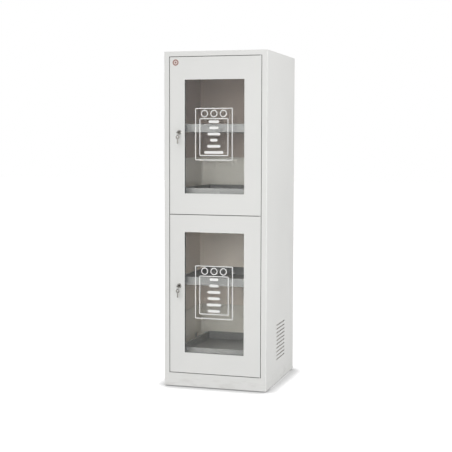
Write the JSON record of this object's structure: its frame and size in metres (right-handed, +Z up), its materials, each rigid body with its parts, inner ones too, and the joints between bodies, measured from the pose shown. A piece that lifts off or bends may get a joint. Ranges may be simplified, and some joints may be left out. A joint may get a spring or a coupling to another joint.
{
  "type": "safety storage cabinet",
  "caption": "Tall steel reagent cabinet: stacked right-hinged glazed doors with cam locks and keys, pull-out trays on telescopic runners, low side louvres, levelling feet.",
  "frame": {"origin": "on the floor, under the middle of the whole outline (the keys in front included)", "axes": "+X to the right along the front, +Y from the front to the rear, +Z up"},
  "size_m": [0.6, 0.692, 1.9],
  "materials": {
    "white_coat": "satin",
    "inside_coat": "satin",
    "dark_coat": "satin",
    "liner_plastic": "matt",
    "glass": "clear",
    "rubber": "matt",
    "zinc_steel": "satin",
    "nickel": "polished",
    "bearing_plastic": "matt"
  },
  "bodies": {
    "casing": {"left_side_panel": "white_coat", "right_side_panel": "white_coat", "top_panel": "white_coat", "front_plinth": "white_coat", "base_panel": "inside_coat", "divider_panel": "inside_coat", "back_panel": "white_coat", "back_screws": "zinc_steel", "levelling_feet": "zinc_steel", "foot_plates": "zinc_steel", "upper_sump_liner": "liner_plastic", "lower_sump_liner": "liner_plastic", "end_hinge_plates": "zinc_steel", "middle_hinge_plate": "zinc_steel", "hinge_pins": "zinc_steel", "door_buffers": "rubber", "slide_brackets": "zinc_steel", "upper_high_runner_fixed": "zinc_steel", "upper_low_runner_fixed": "zinc_steel", "lower_high_runner_fixed": "zinc_steel", "lower_low_runner_fixed": "zinc_steel"},
    "upper_door": {"upper_door_skin": "white_coat", "upper_door_inner_pan": "white_coat", "upper_door_glass": "glass", "upper_door_gasket": "rubber", "upper_door_glazing_frame": "dark_coat", "upper_door_hinge_blocks": "bearing_plastic", "upper_lock_body": "nickel", "upper_lock_nut": "zinc_steel"},
    "upper_lock": {"upper_lock_plug": "nickel", "upper_lock_cam": "zinc_steel"},
    "upper_key": {"upper_key": "nickel"},
    "upper_ring": {"upper_key_ring": "nickel", "upper_spare_key": "nickel"},
    "upper_high_runner": {"upper_high_runner_middle": "zinc_steel"},
    "upper_high_tray": {"upper_high_tray": "inside_coat", "upper_high_runner_inner": "zinc_steel"},
    "upper_low_runner": {"upper_low_runner_middle": "zinc_steel"},
    "upper_low_tray": {"upper_low_tray": "inside_coat", "upper_low_runner_inner": "zinc_steel"},
    "lower_door": {"lower_door_skin": "white_coat", "lower_door_inner_pan": "white_coat", "lower_door_glass": "glass", "lower_door_gasket": "rubber", "lower_door_glazing_frame": "dark_coat", "lower_door_hinge_blocks": "bearing_plastic", "lower_lock_body": "nickel", "lower_lock_nut": "zinc_steel"},
    "lower_lock": {"lower_lock_plug": "nickel", "lower_lock_cam": "zinc_steel"},
    "lower_key": {"lower_key": "nickel"},
    "lower_ring": {"lower_key_ring": "nickel", "lower_spare_key": "nickel"},
    "lower_high_runner": {"lower_high_runner_middle": "zinc_steel"},
    "lower_high_tray": {"lower_high_tray": "inside_coat", "lower_high_runner_inner": "zinc_steel"},
    "lower_low_runner": {"lower_low_runner_middle": "zinc_steel"},
    "lower_low_tray": {"lower_low_tray": "inside_coat", "lower_low_runner_inner": "zinc_steel"}
  },
  "joints": [
    {"name": "upper_door_hinge", "type": "hinge", "parent": "casing", "child": "upper_door", "pos_m": [0.262, -0.29895, 0.987], "axis": [0, 0, 1], "range_deg": [0, 110]},
    {"name": "upper_lock_turn", "type": "hinge", "parent": "upper_door", "child": "upper_lock", "pos_m": [-0.21, -0.30395, 1.448], "axis": [0, 1, 0], "range_deg": [0, 90]},
    {"name": "upper_key_pull", "type": "slide", "parent": "upper_lock", "child": "upper_key", "axis": [0, -1, 0], "range_m": [0, 0.03]},
    {"name": "upper_ring_swing", "type": "hinge", "parent": "upper_key", "child": "upper_ring", "pos_m": [-0.21, -0.33415, 1.448], "axis": [1, 0, 0], "range_deg": [-45, 10]},
    {"name": "upper_high_runner_slide", "type": "slide", "parent": "casing", "child": "upper_high_runner", "axis": [0, -1, 0], "range_m": [0, 0.225]},
    {"name": "upper_high_tray_slide", "type": "slide", "parent": "upper_high_runner", "child": "upper_high_tray", "axis": [0, -1, 0], "range_m": [0, 0.225]},
    {"name": "upper_low_runner_slide", "type": "slide", "parent": "casing", "child": "upper_low_runner", "axis": [0, -1, 0], "range_m": [0, 0.225]},
    {"name": "upper_low_tray_slide", "type": "slide", "parent": "upper_low_runner", "child": "upper_low_tray", "axis": [0, -1, 0], "range_m": [0, 0.225]},
    {"name": "lower_door_hinge", "type": "hinge", "parent": "casing", "child": "lower_door", "pos_m": [0.262, -0.29895, 0.083], "axis": [0, 0, 1], "range_deg": [0, 110]},
    {"name": "lower_lock_turn", "type": "hinge", "parent": "lower_door", "child": "lower_lock", "pos_m": [-0.21, -0.30395, 0.58], "axis": [0, 1, 0], "range_deg": [0, 90]},
    {"name": "lower_key_pull", "type": "slide", "parent": "lower_lock", "child": "lower_key", "axis": [0, -1, 0], "range_m": [0, 0.03]},
    {"name": "lower_ring_swing", "type": "hinge", "parent": "lower_key", "child": "lower_ring", "pos_m": [-0.21, -0.33415, 0.58], "axis": [1, 0, 0], "range_deg": [-45, 10]},
    {"name": "lower_high_runner_slide", "type": "slide", "parent": "casing", "child": "lower_high_runner", "axis": [0, -1, 0], "range_m": [0, 0.225]},
    {"name": "lower_high_tray_slide", "type": "slide", "parent": "lower_high_runner", "child": "lower_high_tray", "axis": [0, -1, 0], "range_m": [0, 0.225]},
    {"name": "lower_low_runner_slide", "type": "slide", "parent": "casing", "child": "lower_low_runner", "axis": [0, -1, 0], "range_m": [0, 0.225]},
    {"name": "lower_low_tray_slide", "type": "slide", "parent": "lower_low_runner", "child": "lower_low_tray", "axis": [0, -1, 0], "range_m": [0, 0.225]}
  ],
  "couplings": [
    {"joint": "upper_high_runner_slide", "follows": "upper_door_hinge", "m_per_rad": 0.04},
    {"joint": "upper_high_tray_slide", "follows": "upper_door_hinge", "m_per_rad": 0.04},
    {"joint": "upper_low_runner_slide", "follows": "upper_door_hinge", "m_per_rad": 0.04},
    {"joint": "upper_low_tray_slide", "follows": "upper_door_hinge", "m_per_rad": 0.04},
    {"joint": "lower_high_runner_slide", "follows": "lower_door_hinge", "m_per_rad": 0.04},
    {"joint": "lower_high_tray_slide", "follows": "lower_door_hinge", "m_per_rad": 0.04},
    {"joint": "lower_low_runner_slide", "follows": "lower_door_hinge", "m_per_rad": 0.04},
    {"joint": "lower_low_tray_slide", "follows": "lower_door_hinge", "m_per_rad": 0.04}
  ]
}
